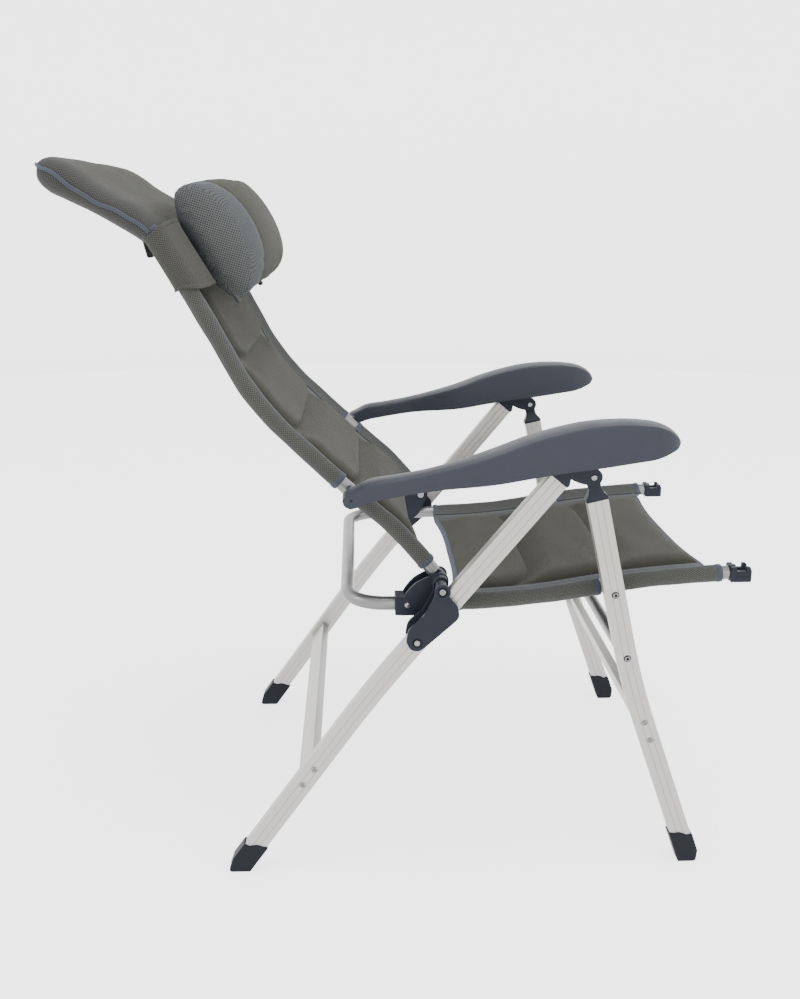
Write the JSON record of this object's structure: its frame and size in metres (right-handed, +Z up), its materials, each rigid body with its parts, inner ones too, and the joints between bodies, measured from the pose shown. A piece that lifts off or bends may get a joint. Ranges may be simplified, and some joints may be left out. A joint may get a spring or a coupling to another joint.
{
  "type": "folding camp chair",
  "caption": "High-backed reclining folding camp chair with padded mesh slings, sliding armrests and a head cushion.",
  "frame": {"origin": "centre of the bounding box's underside: on the floor, midway across the chair and midway between the seat clips and the headrest's tip", "axes": "+Z up, the sitter faces -Y, +X to the sitter's left"},
  "size_m": [0.66, 1.068, 1.121],
  "materials": {
    "aluminium": "brushed, clear anodised",
    "steel": "bright rivets and pins",
    "grey_plastic": "fine moulded grain",
    "arm_plastic": "fine moulded grain",
    "foot_plastic": "soft matt plastic",
    "mesh_fabric": "three-dimensional spacer mesh",
    "pad_fabric": "smooth quilted spacer fabric"
  },
  "bodies": {
    "rear_frame": {"rear_leg_right": "aluminium", "rear_leg_left": "aluminium", "rear_foot_right": "foot_plastic", "rear_foot_left": "foot_plastic", "rear_crossbar": "aluminium", "rear_rivet_lower_right": "steel", "rear_rivet_lower_left": "steel", "rear_rivet_upper_right": "steel", "rear_rivet_upper_left": "steel", "rear_top_fitting_right": "grey_plastic", "rear_top_fitting_left": "grey_plastic", "front_pivot_pin_right": "steel", "front_pivot_pin_left": "steel", "link_rivet_right": "steel", "link_rivet_left": "steel"},
    "front_frame": {"front_leg_right": "aluminium", "front_leg_left": "aluminium", "front_foot_right": "foot_plastic", "front_foot_left": "foot_plastic", "front_crossbar": "aluminium", "front_rivet_lower_right": "steel", "front_rivet_lower_left": "steel", "front_rivet_upper_right": "steel", "front_rivet_upper_left": "steel", "front_round_bar": "aluminium", "front_leg_cap_right": "grey_plastic", "front_leg_cap_left": "grey_plastic", "round_bar_screw_right": "steel", "round_bar_screw_left": "steel", "seat_pivot_bolt_right": "steel", "seat_pivot_bolt_left": "steel", "seat_pivot_spacer_right": "grey_plastic", "seat_pivot_spacer_left": "grey_plastic"},
    "links": {"hinge_link_right": "grey_plastic", "hinge_link_left": "grey_plastic"},
    "seat": {"seat_tube": "aluminium", "seat_bracket_right": "grey_plastic", "seat_bracket_left": "grey_plastic", "bracket_rivet_right": "steel", "bracket_rivet_left": "steel", "seat_clip_right": "grey_plastic", "seat_clip_left": "grey_plastic", "seat_sling": "mesh_fabric"},
    "back_pins": {"back_pivot_pin_right": "steel", "back_pivot_pin_left": "steel"},
    "backrest": {"back_tube": "aluminium", "back_eye_right": "grey_plastic", "back_eye_left": "grey_plastic", "back_sling": "mesh_fabric", "head_pad": "pad_fabric"},
    "arm_pins": {"arm_pivot_pin_right": "grey_plastic", "arm_pivot_pin_left": "grey_plastic"},
    "armrests": {"armrest_right": "arm_plastic", "armrest_left": "arm_plastic", "arm_rack_right": "grey_plastic", "arm_rack_left": "grey_plastic"},
    "headrest": {"head_cushion": "pad_fabric", "head_band": "mesh_fabric"}
  },
  "joints": [
    {"name": "fold", "type": "hinge", "parent": "rear_frame", "child": "front_frame", "pos_m": [0, -0.266, 0.657], "axis": [1, 0, 0], "range_deg": [0, 52.5]},
    {"name": "link_swing", "type": "hinge", "parent": "rear_frame", "child": "links", "pos_m": [0, -0.004, 0.4005], "axis": [-1, 0, 0], "range_deg": [0, 140]},
    {"name": "seat_turn", "type": "hinge", "parent": "links", "child": "seat", "pos_m": [0, -0.042, 0.4835], "axis": [1, 0, 0], "range_deg": [0, 97]},
    {"name": "back_carry", "type": "hinge", "parent": "links", "child": "back_pins", "pos_m": [0, -0.042, 0.4835], "axis": [1, 0, 0], "range_deg": [0, 192]},
    {"name": "recline", "type": "hinge", "parent": "back_pins", "child": "backrest", "pos_m": [0, -0.042, 0.4835], "axis": [1, 0, 0], "range_deg": [0, 30]},
    {"name": "arm_carry", "type": "hinge", "parent": "backrest", "child": "arm_pins", "pos_m": [0, 0.094, 0.63], "axis": [-1, 0, 0], "range_deg": [0, 102]},
    {"name": "arm_follow", "type": "hinge", "parent": "arm_pins", "child": "armrests", "pos_m": [0, 0.094, 0.63], "axis": [-1, 0, 0], "range_deg": [0, 21]},
    {"name": "headrest_slide", "type": "slide", "parent": "backrest", "child": "headrest", "axis": [0, 0.5, 0.866], "range_m": [-0.05, 0]}
  ],
  "couplings": [
    {"joint": "link_swing", "follows": "fold", "ratio": 2.6667},
    {"joint": "seat_turn", "follows": "fold", "ratio": 1.84},
    {"joint": "back_carry", "follows": "fold", "ratio": 3.65},
    {"joint": "arm_carry", "follows": "fold", "ratio": 1.94},
    {"joint": "arm_follow", "follows": "recline", "ratio": 0.7}
  ]
}
